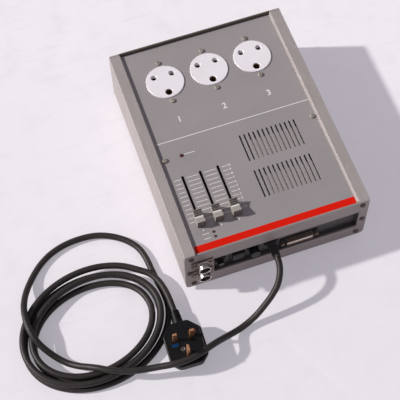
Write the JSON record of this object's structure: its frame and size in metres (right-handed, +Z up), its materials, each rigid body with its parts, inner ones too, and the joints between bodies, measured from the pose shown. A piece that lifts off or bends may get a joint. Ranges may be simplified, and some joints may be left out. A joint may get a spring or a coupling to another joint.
{
  "type": "dimmer pack",
  "caption": "Free-standing stage dimmer pack: a flat metal case with round-pin outlets and sliding faders on top, control sockets in front, and a coiled mains lead with its plug.",
  "frame": {"origin": "bottom centre of the unit without its lead, on the floor plane under the feet", "axes": "+Z up, +Y from the front plate with the sockets towards the back where the outlets are, +X to the right as seen from the front"},
  "size_m": [0.4746, 0.4343, 0.1039],
  "materials": {
    "rail": "warm grey satin anodised extrusion",
    "panel": "mid grey satin paint with white marks",
    "plate": "grey satin paint with a plain red band on the front plate",
    "cover": "grey satin paint",
    "tray": "satin black",
    "white_plastic": "moulded white, slightly glossy",
    "black_plastic": "moulded black",
    "grey_plastic": "moulded mid grey",
    "brass": "bright",
    "chrome": "polished",
    "steel": "zinc plated",
    "rubber": "matt black",
    "lead": "smooth black sheath",
    "lamp": "tinted red lens, unlit",
    "board": "green circuit board",
    "aluminium": "plain"
  },
  "bodies": {
    "unit": {"back_end_plate": "plate", "bottom_cover": "cover", "breaker_body": "black_plastic", "cable_gland": "black_plastic", "connector_tray": "tray", "control_board": "board", "d_sub_insert": "black_plastic", "d_sub_shell": "steel", "din_lower_insert": "black_plastic", "din_lower_shell": "chrome", "din_upper_insert": "black_plastic", "din_upper_shell": "chrome", "fader_1_body": "aluminium", "fader_2_body": "aluminium", "fader_3_body": "aluminium", "foot_left_back": "rubber", "foot_left_front": "rubber", "foot_right_back": "rubber", "foot_right_front": "rubber", "front_end_plate": "plate", "front_screw_left_1": "steel", "front_screw_left_2": "steel", "front_screw_right_1": "steel", "front_screw_right_2": "steel", "fuse_cap": "black_plastic", "fuse_holder": "black_plastic", "heat_sink": "aluminium", "lead_coil": "lead", "lead_relief": "rubber", "lead_run": "lead", "lead_tail": "lead", "main_lamp": "lamp", "outlet_1_base": "brass", "outlet_1_face": "white_plastic", "outlet_2_base": "brass", "outlet_2_face": "white_plastic", "outlet_3_base": "brass", "outlet_3_face": "white_plastic", "plug_base": "black_plastic", "plug_cover": "black_plastic", "plug_earth_pin": "brass", "plug_live_pin": "brass", "plug_neutral_pin": "brass", "power_board": "board", "rocker_frame": "black_plastic", "side_rail_left": "rail", "side_rail_right": "rail", "signal_lamp_1": "lamp", "signal_lamp_2": "lamp", "terminal_block": "white_plastic", "top_panel": "panel", "transformer": "steel"},
    "fader_1": {"fader_1_lever": "steel", "fader_1_knob": "grey_plastic"},
    "fader_2": {"fader_2_lever": "steel", "fader_2_knob": "grey_plastic"},
    "fader_3": {"fader_3_lever": "steel", "fader_3_knob": "grey_plastic"},
    "breaker_button": {"breaker_button": "black_plastic"},
    "rocker": {"rocker_key": "black_plastic"}
  },
  "joints": [
    {"name": "fader_1_slide", "type": "slide", "parent": "unit", "child": "fader_1", "axis": [0, 1, 0], "range_m": [0, 0.064]},
    {"name": "fader_2_slide", "type": "slide", "parent": "unit", "child": "fader_2", "axis": [0, 1, 0], "range_m": [0, 0.064]},
    {"name": "fader_3_slide", "type": "slide", "parent": "unit", "child": "fader_3", "axis": [0, 1, 0], "range_m": [0, 0.064]},
    {"name": "breaker_push", "type": "slide", "parent": "unit", "child": "breaker_button", "axis": [0, 1, 0], "range_m": [0, 0.0025], "stiffness_N_per_m": 500, "springref_m": -0.001},
    {"name": "rocker_tip", "type": "hinge", "parent": "unit", "child": "rocker", "pos_m": [-0.051, -0.14955, 0.0485], "axis": [1, 0, 0], "range_deg": [-20, 0]}
  ]
}
